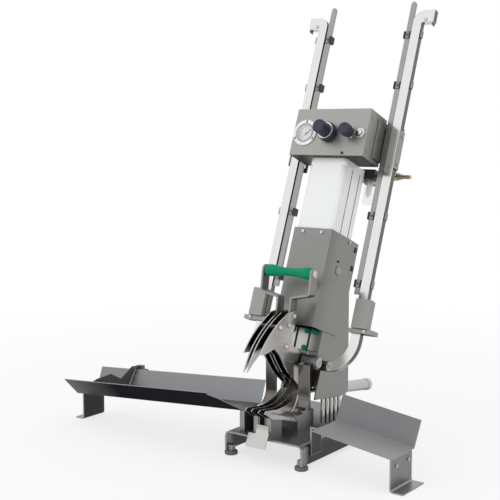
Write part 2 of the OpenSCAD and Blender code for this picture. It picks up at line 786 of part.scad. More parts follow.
// Fixed lower head: gathering plates, product guides, dies and knife
module fixed_plates() {
    outline = concat([[-41, 121], [-34, 126]], bend([-8, 123], [30, 115], [75, 131]),
        [[97, 143], [116, 158], [127, 172], [136, 166], [140, 148], [140, slot_z], [85, slot_z],
            [30, 92], [-12, 102]]);
    color("silver") placed() pair() for (i = [0, 1]) yz(fixed_x[i], fixed_t[i]) polygon(outline);
}
module product_guides() {
    scoop = 40;
    riser = 86;
    low = 142;
    seat = pivot_y - boss_r - guide_t / 2 + 1.1;
    path = concat([[seat, pivot_z], [riser, pivot_z - 3]],
        arc([riser - scoop, low], scoop, 0, -75), [[22, 105]]);
    color("silver") placed() pair() yz(guide_x, guide_w) strip(path, guide_t);
}
module die_block() {
    half = fixed_x[1] + fixed_t[1] + 1.5;
    jaw_in = plate_inner_x + plate_t + 1;
    color("dimgray") placed() difference() {
        union() {
            box([-half, 84, base_top], [half, 150, 92]);
            column() box([-half, 47, -208], [half, 83, die_u - 36]);
            pair() box([jaw_in, jaw_front, base_top], [fixed_x[1] - 1.5, 30, 103]);
        }
        pair() for (i = [0, 1])
            box([fixed_x[i] - seat_gap, -60, slot_z - seat_gap],
                [fixed_x[i] + fixed_t[i] + seat_gap, 180, 140]);
        box([-half - 1, 60, 0], [half + 1, 180, base_top]);
    }
}
module dies() {
    gap = 0.6;
    color("silver") placed() column() pair() difference() {
        box([fixed_x[0] + fixed_t[0] + gap, punch_d - 11, die_u - 36],
            [fixed_x[1] - gap, punch_d + 11, die_u]);
        along_x([0, punch_d, die_u + 2], 40, 6);
    }
}
module waste_chute() {
    wide = [-32, 21];
    neck = [-14, 18];
    seat = jaw_front - sheet_t / 2 - seat_gap;
    color("lightgray") placed() difference() {
        yz(wide[0], wide[1] - wide[0]) strip([[seat, 86], [seat, 76], [seat - 19, 38]], sheet_t);
        box([wide[0] - 1, seat - 20, 66], [neck[0], seat + 2, 90]);
        box([neck[1], seat - 20, 72], [wide[1] + 1, seat + 2, 90]);
    }
}
module knife_frame() { translate([0, knife_y, knife_z]) rotate([-knife_tilt, 0, 0]) children(); }
module knife_cylinder() {
    long = 180;
    nose_r = 10;
    color("gainsboro") placed() difference() {
        knife_frame() difference() {
            union() {
                along_d([0, -6, 0], 12, nose_r);
                along_d([0, 6, 0], long - 18, knife_r - 1);
                along_d([0, 6, 0], 14, knife_r);
                along_d([0, long - 16, 0], 16, knife_r);
            }
            along_d([0, -10, 0], 40, knife_rod_r + run_gap);
            along_d([0, 20, 0], long - 36, knife_bore_r);
        }
        box([-2 * nose_r, rear_face - 40, knife_z - 40], [2 * nose_r, rear_face, knife_z + 40]);
    }
}
module knife_blade() {
    blade_t = 1.6;
    color("silver") placed() knife_frame() {
        along_d([0, -102, 0], 208, knife_rod_r);
        along_d([0, 90, 0], 12, knife_bore_r - run_gap);
        yz(-blade_t / 2, blade_t)
            polygon([[-136, 30], [-128, 34], [-98, 34], [-98, -12], [-124, -12], [-132, 6]]);
    }
}

// Product trays
module infeed() { translate([infeed_x, 0, infeed_z]) rotate([0, -infeed_slope, 0]) children(); }
module outfeed() { translate([outfeed_x, 0, outfeed_z]) rotate([0, outfeed_slope, 0]) children(); }
module infeed_tray() {
    cut = [48, 70];
    color("darkgray") placed() infeed() difference() {
        yz(-infeed_len, infeed_len) strip([[-45, infeed_rise[0]], [-4, 0], [infeed_rear[0], 0],
            [infeed_rear[1], infeed_rise[1]]], tray_t);
        xz(-60, 54)
            polygon([[1, 1], [1, 80], [-cut[1], 80], [-cut[1], infeed_rise[0] - 4], [-cut[0], 30]]);
    }
}
module outfeed_tray() {
    color("darkgray") placed() outfeed() yz(0, outfeed_len)
        strip([[-14, 0], [84, 0], [99, 59]], tray_t);
}
// Height of each tray's lower face over a place along X
function infeed_under(x) =
    infeed_z + (x - infeed_x) * tan(infeed_slope) - tray_t / 2 / cos(infeed_slope);
function outfeed_under(x) =
    outfeed_z - (x - outfeed_x) * tan(outfeed_slope) - tray_t / 2 / cos(outfeed_slope);
module tray_legs() {
    bend_r = 6;
    half = leg_t / 2;
    foot = arc([bend_r, bend_r + half], bend_r, 180, 270);
    infeed_top = infeed_under(infeed_leg_x - half) - seat_gap;
    outfeed_top = outfeed_under(outfeed_leg_x + half) - seat_gap;
    color("darkgray") placed() {
        translate([infeed_leg_x, 0, 0]) xz(0, 74) mirror([1, 0])
            strip(concat([[0, infeed_top]], foot, [[leg_flange, half]]), leg_t);
        translate([outfeed_leg_x, 0, 0]) xz(-15, 92)
            strip(concat([[0, outfeed_top]], foot, [[leg_flange + leg_t, half]]), leg_t);
    }
}
module tray_brackets() {
    side = base_w / 2;
    reach = outfeed_x + 14 - side;
    top = outfeed_under(side + reach) - seat_gap;
    color("black") placed() {
        box([infeed_x - 15, 5, base_top], [infeed_x - 2, 55, infeed_under(infeed_x - 15) - seat_gap]);
        box([side, 20, 28], [side + 4, 60, top]);
        box([side, 20, top - 4], [side + reach, 60, top]);
    }
}
module length_stop() {
    slope = (infeed_rear[1] - infeed_rear[0]) / infeed_rise[1];
    top = infeed_rise[1] + tray_t / 2;
    rim = top + 8;
    wall_y = infeed_rear[0] - 4;
    cradle = [[-2, 1.5], [wall_y, 1.5], [wall_y + slope * top, top + 0.2], [stop_back, top + 0.2],
        [stop_back, rim], [80, rim], [50, 33], [26, 49], [-8, 41], [-24, 33], [-14, 18]];
    turned = [for (p = cradle) [(p[0] - stop_back) / cos(stop_turn), p[1]]];
    color("gray") placed() infeed() translate([stop_x, 0, 0]) {
        translate([0, stop_back, 0]) rotate([0, 0, -stop_turn]) yz(0, stop_t) polygon(turned);
        difference() {
            box([-8, stop_back - stop_block, 22], [stop_t + 8, stop_back, rim]);
            along_d([stop_t / 2, stop_back - stop_block - 1, stop_knob_z],
                stop_block + 2, stop_screw_r + run_gap);
        }
    }
}
module stop_knob() {
    color("black") placed() infeed() translate([stop_x + stop_t / 2, stop_back, stop_knob_z]) {
        along_d([0, -stop_block, 0], stop_block + 5, stop_screw_r);
        along_d([0, 0.3, 0], 5, 5);
        along_d([0, 5, 0], 12, 10);
    }
}

base_plate();
levelling_feet();
side_plates();
support_pillars();
rear_plate();
cylinder_caps();
cylinder_barrel();
front_cover();
machine_screws();
cover_plugs();
control_box();
control_back();
gauge_bezel();
gauge_dial();
gauge_glass();
regulator_body();
panel_bushes();
filter_head();
filter_bowl();
air_inlet();
magazine_rails();
guide_bars();
clamp_blocks();
rail_clips();
magazine_brackets();
rail_stops();
punch_guide();
punch_covers();
grease_caps();
pivot_bosses();
pivot_shaft();
fixed_plates();
product_guides();
die_block();
dies();
knife_cylinder();
waste_chute();
infeed_tray();
outfeed_tray();
tray_legs();
tray_brackets();
piston();
piston_rod();
punch_crosshead();
punches();
knife_blade();
clip_weight_left();
clip_weight_right();
regulator_knob();
valve_knob();
push_button();
gauge_needle();
lever_hub();
lever_fork();
gathering_plates();
plate_bolts();
grip_spindle();
hand_grip();
length_stop();
stop_knob();
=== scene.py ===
# Looks of the bench-top sausage clipper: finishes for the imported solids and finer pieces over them.
# Metres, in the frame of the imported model: X to the operator's right, Y to the back, Z up.
import json
import math

import bmesh
import bpy
from mathutils import Matrix, Vector

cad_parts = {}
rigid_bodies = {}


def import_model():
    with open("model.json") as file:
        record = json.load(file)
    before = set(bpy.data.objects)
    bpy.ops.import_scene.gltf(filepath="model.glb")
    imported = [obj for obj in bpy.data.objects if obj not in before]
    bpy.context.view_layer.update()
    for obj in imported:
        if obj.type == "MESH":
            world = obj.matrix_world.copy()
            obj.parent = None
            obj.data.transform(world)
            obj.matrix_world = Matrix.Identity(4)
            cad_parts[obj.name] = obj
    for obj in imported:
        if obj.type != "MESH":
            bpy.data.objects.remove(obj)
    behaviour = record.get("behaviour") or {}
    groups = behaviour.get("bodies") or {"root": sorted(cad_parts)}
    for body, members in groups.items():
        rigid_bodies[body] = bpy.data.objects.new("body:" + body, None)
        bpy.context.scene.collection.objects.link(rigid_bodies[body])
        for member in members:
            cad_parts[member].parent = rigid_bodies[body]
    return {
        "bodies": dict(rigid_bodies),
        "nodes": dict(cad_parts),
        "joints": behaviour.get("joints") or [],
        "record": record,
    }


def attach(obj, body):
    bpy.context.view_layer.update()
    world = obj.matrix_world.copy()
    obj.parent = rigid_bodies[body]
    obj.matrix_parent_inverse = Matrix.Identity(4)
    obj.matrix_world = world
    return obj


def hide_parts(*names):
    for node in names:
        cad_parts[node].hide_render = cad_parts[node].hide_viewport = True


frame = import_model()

MM = 0.001
nodes = frame["nodes"]
for spare in set(bpy.data.objects) - set(nodes.values()) - set(frame["bodies"].values()):
    bpy.data.objects.remove(spare)
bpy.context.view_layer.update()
joints = {joint["name"]: joint for joint in frame["joints"]}

# The leaning column's own axes: across, inward (back) and up the lean; its foot is under the cover's front
RIGHT = Vector((1, 0, 0))
TOP = Vector((0, 0, 1))
INWARD = Vector(joints["regulator_turn"]["axis"])
OUT = -INWARD
UPWARD = Vector((0, -INWARD.z, INWARD.y))
LEAN = math.atan2(UPWARD.y, UPWARD.z)


def reach(node, axis, origin=Vector((0, 0, 0))):
    """The lowest and the highest point of a node along an axis from an origin, in millimetres."""
    solid = nodes[node]
    heights = [axis.dot(solid.matrix_world @ vertex.co - origin) / MM for vertex in solid.data.vertices]
    return min(heights), max(heights)


COLUMN_FOOT = MM * (sum(reach("front_cover", RIGHT)) / 2 * RIGHT
                    + reach("front_cover", INWARD)[0] * INWARD
                    + reach("front_cover", UPWARD)[0] * UPWARD)


def column(x, d, u):
    """A point given in millimetres across, back and up in the leaning column."""
    return COLUMN_FOOT + MM * (x * RIGHT + d * INWARD + u * UPWARD)


def limits(node, axis):
    """The lowest and the highest point of a node along one of the column's axes, as column() counts."""
    return reach(node, axis, COLUMN_FOOT)


def middle(node, axis):
    """The middle of a node along one of the column's axes, as column() counts."""
    return sum(limits(node, axis)) / 2


# Nodes of the materials

# Most of a noise value lies between these
NOISE_LOW, NOISE_HIGH = 0.3, 0.7
# How far the rounded and the true normal agree where an edge starts to be lightened, as rubbed wear and
# painted highlight, and where it is fully so
FLAT_MATCH, EDGE_MATCH = 0.995, 0.9
# How open a place is where painted shade and grime start, and where they are full
OPEN_PLACE, TIGHT_PLACE = 0.75, 0.15
# Axes and parts of the normal at which a face starts to count as looking down, up or right, and fully does;
# such faces get painted shade and painted light
DOWNWARD_FACES = ("Z", -0.35, -0.6)
UPWARD_FACES = ("Z", 0.75, 0.95)
RIGHT_FACES = ("X", 0.5, 0.8)


def add(tree, kind, **inputs):
    """A new node with some of its input sockets set."""
    node = tree.nodes.new("ShaderNode" + kind)
    for key, value in inputs.items():
        node.inputs[key.replace("_", " ")].default_value = value
    return node


def combined(tree, operation, first, second):
    """Two values put together by a sum, a product or the larger of them."""
    node = add(tree, "Math")
    node.operation = operation
    tree.links.new(first, node.inputs[0])
    tree.links.new(second, node.inputs[1])
    return node.outputs[0]


def ranged(tree, value, start, end, low, high, smooth=False):
    """A value between two limits spread from low to high, and held beyond them."""
    spread = add(tree, "MapRange", From_Min=start, From_Max=end, To_Min=low, To_Max=high)
    if smooth:
        spread.interpolation_type = "SMOOTHSTEP"
    tree.links.new(value, spread.inputs["Value"])
    return spread.outputs["Result"]


def noise(tree, scale, stretch=(1, 1, 1), tilt=0.0, detail=4.0):
    """Noise in the object's own space, stretched along some axes and leaned about X."""
    place = add(tree, "TexCoord")
    lean = add(tree, "Mapping", Rotation=(tilt, 0, 0), Scale=stretch)
    cloud = add(tree, "TexNoise", Scale=scale, Detail=detail, Roughness=0.6)
    tree.links.new(place.outputs["Object"], lean.inputs["Vector"])
    tree.links.new(lean.outputs["Vector"], cloud.inputs["Vector"])
    return cloud.outputs["Fac"]


def between(tree, value, low, high):
    """A noise value spread from low to high."""
    return ranged(tree, value, NOISE_LOW, NOISE_HIGH, low, high)


def tint(tree, factor, dark, light):
    """A colour between two, chosen by a factor of 0 to 1."""
    mix = add(tree, "Mix")
    mix.data_type = "RGBA"
    mix.inputs["A"].default_value = (*dark, 1)
    mix.inputs["B"].default_value = (*light, 1)
    tree.links.new(factor, mix.inputs["Factor"])
    return mix.outputs["Result"]


def over(tree, factor, colour, top):
    """A colour covered by another as far as a factor says."""
    mix = add(tree, "Mix")
    mix.data_type = "RGBA"
    mix.inputs["B"].default_value = (*top, 1)
    tree.links.new(factor, mix.inputs["Factor"])
    tree.links.new(colour, mix.inputs["A"])
    return mix.outputs["Result"]


def worn(tree, colour, light, amount, radius):
    """The colour with its sharp edges lighter within a radius: rubbed wear, and at a high amount a painted
    highlight along the rims.
    """
    rounded = add(tree, "Bevel", Radius=radius)
    rounded.samples = 4
    shape = add(tree, "NewGeometry")
    match = add(tree, "VectorMath")
    match.operation = "DOT_PRODUCT"
    tree.links.new(rounded.outputs["Normal"], match.inputs[0])
    tree.links.new(shape.outputs["Normal"], match.inputs[1])
    factor = ranged(tree, match.outputs["Value"], FLAT_MATCH, EDGE_MATCH, 0, amount)
    return over(tree, factor, colour, light)


def grimy(tree, colour, shade_and_dirt, amount, distance):
    """The colour darkened where other surfaces stand within a distance: painted shade in corners, between
    parts and under things, together with grime.
    """
    close = add(tree, "AmbientOcclusion", Distance=distance)
    close.samples = 6
    factor = ranged(tree, close.outputs["AO"], OPEN_PLACE, TIGHT_PLACE, 0, amount)
    return over(tree, factor, colour, shade_and_dirt)


def facing(tree, colour, faces, other, span=None):
    """Painted light and shade: the colour with another one on faces that look one way, coming in over a span
    of the part.
    """
    axis, start, end = faces
    shape = add(tree, "NewGeometry")
    axes = add(tree, "SeparateXYZ")
    tree.links.new(shape.outputs["True Normal"], axes.inputs["Vector"])
    factor = ranged(tree, axes.outputs[axis], start, end, 0, 1)
    if span:
        span_axis, span_start, span_end = span
        place = add(tree, "SeparateXYZ")
        tree.links.new(add(tree, "TexCoord").outputs["Object"], place.inputs["Vector"])
        reached = ranged(tree, place.outputs[span_axis], span_start, span_end, 0, 1)
        factor = combined(tree, "MULTIPLY", factor, reached)
    return over(tree, factor, colour, other)


def roughened(tree, bsdf, value, strength, distance):
    """Bump on the shader from a value."""
    bump = add(tree, "Bump", Strength=strength, Distance=distance)
    tree.links.new(value, bump.inputs["Height"])
    tree.links.new(bump.outputs["Normal"], bsdf.inputs["Normal"])


def shader(name):
    """A new node material, its tree and its Principled shader."""
    material = bpy.data.materials.new(name)
    material.use_nodes = True
    tree = material.node_tree
    return material, tree, tree.nodes["Principled BSDF"]


# Materials

# Depth of the grain, distance of the painted shade and grime, and width of lightened edges (rubbed wear and
# painted highlight), in metres
GRAIN_DEPTH = 0.2 * MM
WAVE_DEPTH = 0.5 * MM
SHADE_AND_GRIME_REACH = 50 * MM
THIN_EDGE = 1.2 * MM
WIDE_EDGE = 3 * MM
# How many handling marks there are on metal and on plastic, and waves in clear plastic
METAL_MARKS, PLASTIC_MARKS, WAVES = 14, 25, 60
# Stretches of the grain along the axes
EVEN = (1, 1, 1)
ACROSS = (0.03, 1, 1)
BACKWARD = (1, 0.03, 1)
UP = (1, 1, 0.03)


def metal(name, colour, rough, grain=EVEN, grain_scale=900, tilt=0.0, *, spread=0.1, bump=0.12,
          metallic=1.0, shade_and_grime=0.5, wear_and_glint=0.5, edge_reach=THIN_EDGE, edge_tint=1.0,
          top=None, under_shade=None, under_shade_span=None, side=None, right_shading_span=None):
    """A metal with a grain, handling marks, painted shade with grime in tight places, and edges lightened by
    wear and painted highlight.

    Faces that look up, down or to the right take the colours given for them: painted light on upward faces,
    painted shade on downward faces, and painted light and shade on right faces.
    """
    material, tree, bsdf = shader(name)
    bsdf.inputs["Metallic"].default_value = metallic
    bsdf.inputs["Specular Tint"].default_value = (edge_tint, edge_tint, edge_tint, 1)
    fine = noise(tree, grain_scale, grain, tilt)
    marks = noise(tree, METAL_MARKS, detail=6)
    dark = [c * (1 - spread) for c in colour]
    light = [min(1, c * (1 + spread)) for c in colour]
    blend = combined(tree, "ADD", between(tree, fine, 0, 0.45), between(tree, marks, 0, 0.55))
    finish = tint(tree, blend, dark, light)
    # Painted shade, with some grime, where other surfaces stand close: in corners, between parts and under
    # things
    finish = grimy(tree, finish, [c * 0.12 for c in colour], shade_and_grime, SHADE_AND_GRIME_REACH)
    # Painted shade on faces that look down, painted light on faces that look up, and painted light and shade
    # on faces that look right
    if under_shade:
        finish = facing(tree, finish, DOWNWARD_FACES, under_shade, under_shade_span)
    if top:
        finish = facing(tree, finish, UPWARD_FACES, top)
    if side:
        finish = facing(tree, finish, RIGHT_FACES, side, right_shading_span)
    # Edges lightened: rubbed wear, and at a high amount a painted highlight along the rims
    edge_colour = [min(1, c * 1.5 + 0.05) for c in colour]
    finish = worn(tree, finish, edge_colour, wear_and_glint, edge_reach)
    tree.links.new(finish, bsdf.inputs["Base Color"])
    tree.links.new(between(tree, marks, rough * 0.85, rough * 1.2), bsdf.inputs["Roughness"])
    roughened(tree, bsdf, fine, bump, GRAIN_DEPTH)
    return material


def plastic(name, colour, rough, grain_scale=1800, *, bump=0.15, wear_and_glint=0.25, gloss=0.5):
    """A moulded plastic or rubber with a fine grain and slightly uneven gloss."""
    material, tree, bsdf = shader(name)
    bsdf.inputs["Specular IOR Level"].default_value = gloss
    fine = noise(tree, grain_scale)
    marks = noise(tree, PLASTIC_MARKS, detail=6)
    dark = [c * 0.85 for c in colour]
    light = [c * 1.12 for c in colour]
    finish = tint(tree, between(tree, marks, 0, 1), dark, light)
    edge_colour = [c * 1.4 + 0.01 for c in colour]
    finish = worn(tree, finish, edge_colour, wear_and_glint, THIN_EDGE)
    tree.links.new(finish, bsdf.inputs["Base Color"])
    tree.links.new(between(tree, marks, rough * 0.85, rough * 1.15), bsdf.inputs["Roughness"])
    roughened(tree, bsdf, fine, bump, GRAIN_DEPTH)
    return material


def clear(name, colour, rough):
    """A see-through plastic with faint moulding waves."""
    material, tree, bsdf = shader(name)
    bsdf.inputs["Base Color"].default_value = (*colour, 1)
    bsdf.inputs["Alpha"].default_value = 0.12
    waves = noise(tree, WAVES)
    tree.links.new(between(tree, waves, rough, rough * 2), bsdf.inputs["Roughness"])
    roughened(tree, bsdf, waves, 0.05, WAVE_DEPTH)
    return material


# Painted shade for faces that look down, and a deeper painted shade for the underside of the infeed tray
SHADE_BELOW = (0.055, 0.055, 0.057)
DEEP_SHADE_BELOW = (0.045, 0.047, 0.051)
# Looks by slot: a name, a colour, a roughness, the grain's stretch, scale and lean; spans are in metres
LOOKS = {
    # Grey sheet: painted shade on faces that look down
    "grey_sheet": metal("grey_sheet", (0.31, 0.31, 0.297), 0.42, UP, 1200, LEAN, under_shade=SHADE_BELOW),
    # Tray sheet: painted light on faces that look up, deep painted shade on faces that look down over most of
    # its length, and a painted highlight along the rims with the wear
    "tray_sheet": metal("tray_sheet", (0.235, 0.238, 0.245), 0.36, ACROSS, 1200, wear_and_glint=0.9, shade_and_grime=0.2,
                        top=(0.46, 0.465, 0.475), under_shade=DEEP_SHADE_BELOW, under_shade_span=("X", -0.46, -0.30),
                        edge_tint=0.3, edge_reach=WIDE_EDGE),
    "polished_steel": metal("polished_steel", (0.58, 0.57, 0.555), 0.17, UP, 700, LEAN,
                            bump=0.05, shade_and_grime=0.8),
    "satin_bar": metal("satin_bar", (0.30, 0.295, 0.29), 0.30, UP, 1200, LEAN),
    "pale_tube": metal("pale_tube", (0.84, 0.85, 0.86), 0.38, UP, 1000, LEAN,
                       spread=0.03, bump=0.06, metallic=0.15, shade_and_grime=0.2),
    "dark_steel": metal("dark_steel", (0.19, 0.19, 0.195), 0.40),
    "black_plastic": plastic("black_plastic", (0.012, 0.012, 0.014), 0.45),
    "rubber": plastic("rubber", (0.13, 0.13, 0.134), 0.6),
    "green_plastic": plastic("green_plastic", (0.0, 0.27, 0.13), 0.5, 1400,
                             bump=0.1, wear_and_glint=0.1, gloss=0.15),
    "navy_plastic": plastic("navy_plastic", (0.016, 0.020, 0.046), 0.42),
    "white_enamel": plastic("white_enamel", (0.90, 0.90, 0.90), 0.3, 1200, bump=0.05, wear_and_glint=0.0),
    "clear": clear("clear", (0.88, 0.91, 0.92), 0.05),
    "nickel_brass": metal("nickel_brass", (0.46, 0.38, 0.27), 0.25, EVEN, 1500),
}

# Nodes whose finish differs a little from the rest of their slot
# Cover: painted shade on faces that look down
COVER = metal("cover_sheet", (0.25, 0.25, 0.24), 0.42, UP, 1200, LEAN, under_shade=SHADE_BELOW)
# Box: painted shade on faces that look down, and its right faces painted a little lighter
BOX = metal("box_sheet", (0.35, 0.35, 0.335), 0.44, ACROSS, 1200, LEAN, shade_and_grime=0.3, under_shade=SHADE_BELOW,
            side=(0.36, 0.36, 0.345))
# Base and tray brackets: painted light on faces that look up, painted shade on faces that look down, a
# painted shadow on the right faces from just behind the front backwards, and a painted highlight along the
# rims with the wear
BASE = metal("base_sheet", (0.29, 0.29, 0.292), 0.38, ACROSS, 1200, wear_and_glint=0.9, under_shade=SHADE_BELOW,
             top=(0.42, 0.42, 0.425), side=(0.09, 0.09, 0.093), right_shading_span=("Y", -0.192, -0.176),
             edge_tint=0.4, edge_reach=WIDE_EDGE)
OWN_LOOKS = {
    "front_cover": COVER,
    "side_plates": COVER,
    "control_box": BOX,
    "control_back": BOX,
    "base_plate": BASE,
    "tray_brackets": BASE,
    # Gathering plates: strong painted shade in the gaps between them
    "gathering_plates": metal("plate_steel", (0.44, 0.425, 0.41), 0.20, EVEN, 260,
                              spread=0.16, bump=0.08, shade_and_grime=0.9),
    "fixed_plates": metal("fixed_plate_steel", (0.46, 0.45, 0.44), 0.24, EVEN, 260,
                          spread=0.14, bump=0.08, shade_and_grime=0.05),
    # Outfeed tray: painted light on faces that look up, and a painted highlight along the rims with the wear
    "outfeed_tray": metal("outfeed_sheet", (0.225, 0.228, 0.235), 0.36, ACROSS, 1200, metallic=0.3,
                          wear_and_glint=0.9, shade_and_grime=0.1, top=(0.38, 0.384, 0.39),
                          edge_tint=0.3, edge_reach=WIDE_EDGE),
    "waste_chute": metal("chute_sheet", (0.50, 0.50, 0.485), 0.34, UP, 1200),
    # Tray legs: painted light on faces that look up, painted shade on the right faces of the infeed leg under
    # its tray, and a painted highlight along the rims with the wear
    "tray_legs": metal("leg_sheet", (0.29, 0.292, 0.298), 0.36, UP, 1200, wear_and_glint=0.9, shade_and_grime=0.2,
                       top=(0.5, 0.5, 0.51), side=(0.045, 0.045, 0.048), right_shading_span=("X", 0.1, -0.1),
                       edge_tint=0.4, edge_reach=WIDE_EDGE),
    # Product guides: painted light on faces that look up
    "product_guides": metal("guide_steel", (0.15, 0.138, 0.13), 0.18, UP, 700, bump=0.05, shade_and_grime=0.6,
                            top=(0.75, 0.74, 0.73)),
    # Knife cylinder: painted shade on faces that look down
    "knife_cylinder": metal("cylinder_steel", (0.50, 0.485, 0.47), 0.26, BACKWARD, 1200,
                            under_shade=(0.2, 0.19, 0.185)),
    "punch_covers": metal("strip_steel", (0.42, 0.42, 0.41), 0.30, UP, 1200, LEAN),
    # Magazine rails: painted shade on faces that look right
    "magazine_rails": metal("rail_steel", (0.60, 0.595, 0.585), 0.14, UP, 700, LEAN,
                            spread=0.05, bump=0.04, side=(0.12, 0.12, 0.125)),
    "rail_clips": metal("clip_steel", (0.22, 0.22, 0.22), 0.30),
    "length_stop": metal("stop_sheet", (0.14, 0.14, 0.142), 0.42),
    "lever_hub": metal("hub_steel", (0.03, 0.03, 0.033), 0.40),
}
slot_of = {part["node"]: part["material_slot"] for part in frame["record"]["subparts"]}


def rounded_edges(solid, width, angle):
    """Rounds the edges of an object that are sharper than an angle."""
    bevel = solid.modifiers.new("edges", "BEVEL")
    bevel.width = width
    bevel.segments = 2
    bevel.limit_method = "ANGLE"
    bevel.angle_limit = math.radians(angle)
    bevel.harden_normals = True


WELD = 0.005 * MM
SOLID_EDGE = 0.5 * MM
SOLID_ANGLE = 40
for name, solid in nodes.items():
    solid.data.materials.clear()
    solid.data.materials.append(OWN_LOOKS.get(name) or LOOKS[slot_of[name]])
    solid.modifiers.new("weld", "WELD").merge_threshold = WELD
    rounded_edges(solid, SOLID_EDGE, SOLID_ANGLE)


# Finer pieces, each built in millimetres and put in place on its body

# Height at which a piece starts above the face that it sits on
SEAT = 0.02
PIECE_ANGLE = 30
SMOOTH_ANGLE = 35


def along(place, axis, side=RIGHT):
    """Turns local Z to an axis and local X near a side, with the origin at a place, from millimetres."""
    z = Vector(axis).normalized()
    y = z.cross(side).normalized()
    turn = Matrix((y.cross(z), y, z)).transposed().to_4x4()
    return Matrix.Translation(place) @ turn @ Matrix.Scale(MM, 4)


def lathe(bm, where, profile, count=48, ribs=0, depth=0.0, ribbed=(0, 0)):
    """Turns a profile of radii and heights about local Z, ribbed between two heights.

    A profile that ends where it starts makes a ring; the others get flat ends.
    """
    rings = []
    for radius, height in profile:
        ring = []
        for i in range(count):
            turn = 2 * math.pi * i / count
            dent = 0.0
            if ribs and ribbed[0] <= height <= ribbed[1]:
                dent = depth * (0.5 - 0.5 * math.cos(ribs * turn))
            r = radius - dent
            ring.append(bm.verts.new(where @ Vector((r * math.cos(turn), r * math.sin(turn), height))))
        rings.append(ring)
    for low, high in zip(rings, rings[1:]):
        for i in range(count):
            j = (i + 1) % count
            bm.faces.new((low[i], low[j], high[j], high[i]))
    if profile[0] != profile[-1]:
        bm.faces.new(reversed(rings[0]))
        bm.faces.new(rings[-1])


def block(bm, where, low, high):
    """A box between two corners."""
    corners = [bm.verts.new(where @ Vector((x, y, z)))
               for x in (low[0], high[0]) for y in (low[1], high[1]) for z in (low[2], high[2])]
    for face in ((0, 1, 3, 2), (4, 6, 7, 5), (0, 4, 5, 1), (2, 3, 7, 6), (0, 2, 6, 4), (1, 5, 7, 3)):
        bm.faces.new([corners[i] for i in face])


def piece(name, bm, body, slot, replaced=(), edge=0.0):
    """A finished piece from a mesh: shaded, given its slot's look, and riding on its body."""
    bmesh.ops.recalc_face_normals(bm, faces=bm.faces)
    mesh = bpy.data.meshes.new(name)
    bm.to_mesh(mesh)
    bm.free()
    mesh.shade_smooth()
    mesh.set_sharp_from_angle(angle=math.radians(SMOOTH_ANGLE))
    mesh.materials.append(LOOKS[slot])
    made = bpy.data.objects.new(name, mesh)
    bpy.context.scene.collection.objects.link(made)
    if edge:
        rounded_edges(made, edge * MM, PIECE_ANGLE)
    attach(made, body)
    if replaced:
        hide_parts(*replaced)


# Control panel: the box's face, the places of the fittings on it and the knobs' stems
BOX_FACE = limits("control_box", INWARD)[0]


def on_panel(joint):
    """The place on the control box's face where a joint's axis goes through it."""
    spot = Vector(joints[joint]["pos_m"])
    return spot + (BOX_FACE * MM - INWARD.dot(spot - COLUMN_FOOT)) * INWARD


REGULATOR = on_panel("regulator_turn")
VALVE = on_panel("valve_turn")
GAUGE = on_panel("needle_turn")
BUTTON = column(middle("push_button", RIGHT), BOX_FACE, middle("push_button", UPWARD))
STEM = [(3, -16), (3, 0.4)]

# Regulator knob: a ribbed ring with a long ribbed cap, and a steel ring between them
REGULATOR_SEAT, RING_R, CAP_R = 4, 23, 16
knob = bmesh.new()
knob_place = along(REGULATOR + REGULATOR_SEAT * MM * OUT, OUT)
ring = [(RING_R - 2, 0.3), (RING_R - 0.4, 0.8), (RING_R, 1.5), (RING_R, 11.5), (RING_R - 0.5, 12.6),
        (RING_R - 2, 13.4), (CAP_R + 1, 13.6)]
lathe(knob, knob_place, ring, 160, ribs=40, depth=0.7, ribbed=(1.4, 11.6))
cap = [(CAP_R + 1, 13.5), (CAP_R, 14.5), (CAP_R, 43), (CAP_R - 0.6, 44.6), (CAP_R - 2.2, 45.6),
       (CAP_R - 5, 46), (CAP_R - 5.6, 45.4), (2, 45.2)]
lathe(knob, knob_place, cap, 160, ribs=32, depth=0.5, ribbed=(16, 42))
lathe(knob, knob_place, STEM, 32)
piece("regulator_knob_ribbed", knob, "regulator", "navy_plastic", replaced=["regulator_knob"])

LOCK_IN, LOCK_OUT = CAP_R + 0.8, RING_R - 2.6
lock_ring = bmesh.new()
lathe(lock_ring, knob_place, [(LOCK_IN, 13.6), (LOCK_OUT, 13.6), (LOCK_OUT, 15.2), (LOCK_OUT - 0.8, 16.0),
                              (LOCK_IN, 16.0), (LOCK_IN, 13.6)], 96)
piece("regulator_lock_ring", lock_ring, "regulator", "polished_steel")

# Valve knob: a fluted head on a narrower neck, with a raised pointer
VALVE_SEAT, HEAD_R, HEAD_END = 5, 15, 28
knob = bmesh.new()
knob_place = along(VALVE + VALVE_SEAT * MM * OUT, OUT)
head = [(HEAD_R - 3, 0.3), (HEAD_R - 3, 7), (HEAD_R - 0.5, 9.6), (HEAD_R, 10.4), (HEAD_R, 25),
        (HEAD_R - 0.6, 26.6), (HEAD_R - 2, 27.7), (HEAD_R - 4, HEAD_END), (1.5, HEAD_END)]
lathe(knob, knob_place, head, 144, ribs=12, depth=1.3, ribbed=(10, 25.5))
lathe(knob, knob_place, STEM, 32)
block(knob, knob_place, (-1.1, 2, HEAD_END - 0.2), (1.1, HEAD_R - 2.5, HEAD_END + 0.8))
piece("valve_knob_fluted", knob, "valve", "navy_plastic", replaced=["valve_knob"])

